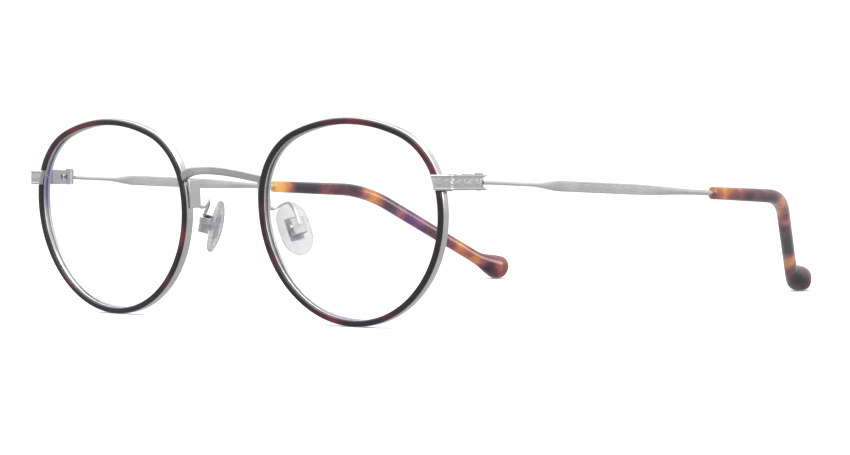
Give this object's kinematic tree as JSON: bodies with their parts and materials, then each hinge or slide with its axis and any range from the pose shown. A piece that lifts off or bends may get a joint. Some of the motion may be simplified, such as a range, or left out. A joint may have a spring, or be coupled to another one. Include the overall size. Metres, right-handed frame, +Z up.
{
  "type": "eyeglasses",
  "caption": "Round metal eyeglasses with a thin acetate inlay on each rim, adjustable nose pads and folding wire temples with tortoiseshell tips.",
  "frame": {"origin": "middle of the frame's bounding box on the surface that it stands on, temples open", "axes": "+X to the wearer's left, +Y from the front to the temple tips, +Z up; the frame stands on its rims and temple tips"},
  "size_m": [0.1354, 0.1604, 0.0433],
  "materials": {
    "silver_metal": "satin silver plating with fine engraving",
    "screw_steel": "turned steel",
    "dark_acetate": "polished near-black acetate with wine red patches",
    "tortoise_acetate": "polished tortoiseshell acetate, amber and dark brown",
    "silicone": "clear soft silicone",
    "lens_clear": "clear with a violet anti-reflection coating"
  },
  "bodies": {
    "front": {"bridge": "silver_metal", "rim_left": "silver_metal", "inlay_ring_left": "dark_acetate", "lens_left": "lens_clear", "rim_lock_upper_left": "silver_metal", "rim_lock_lower_left": "silver_metal", "rim_lock_screw_left": "screw_steel", "endpiece_left": "silver_metal", "hinge_front_left": "silver_metal", "hinge_screw_left": "screw_steel", "pad_arm_left": "silver_metal", "pad_box_left": "silver_metal", "pad_screw_left": "screw_steel", "rim_right": "silver_metal", "inlay_ring_right": "dark_acetate", "lens_right": "lens_clear", "rim_lock_upper_right": "silver_metal", "rim_lock_lower_right": "silver_metal", "rim_lock_screw_right": "screw_steel", "endpiece_right": "silver_metal", "hinge_front_right": "silver_metal", "hinge_screw_right": "screw_steel", "pad_arm_right": "silver_metal", "pad_box_right": "silver_metal", "pad_screw_right": "screw_steel"},
    "temple_left": {"hinge_temple_left": "silver_metal", "temple_left": "silver_metal", "temple_tip_left": "tortoise_acetate"},
    "temple_right": {"hinge_temple_right": "silver_metal", "temple_right": "silver_metal", "temple_tip_right": "tortoise_acetate"},
    "pad_left": {"pad_core_left": "screw_steel", "nose_pad_left": "silicone"},
    "pad_right": {"pad_core_right": "screw_steel", "nose_pad_right": "silicone"}
  },
  "joints": [
    {"name": "temple_left_fold", "type": "hinge", "parent": "front", "child": "temple_left", "pos_m": [0.06035, -0.06308, 0.0298], "axis": [0, 0.0541, 0.9985], "range_deg": [0, 90]},
    {"name": "temple_right_fold", "type": "hinge", "parent": "front", "child": "temple_right", "pos_m": [-0.06035, -0.06308, 0.0298], "axis": [0, -0.0541, -0.9985], "range_deg": [0, 77]},
    {"name": "pad_left_rock", "type": "hinge", "parent": "front", "child": "pad_left", "pos_m": [0.01335, -0.06615, 0.02007], "axis": [0.4226, 0.8787, 0.222], "range_deg": [-10, 10]},
    {"name": "pad_right_rock", "type": "hinge", "parent": "front", "child": "pad_right", "pos_m": [-0.01335, -0.06615, 0.02007], "axis": [0.4226, -0.8787, -0.222], "range_deg": [-10, 10]}
  ]
}
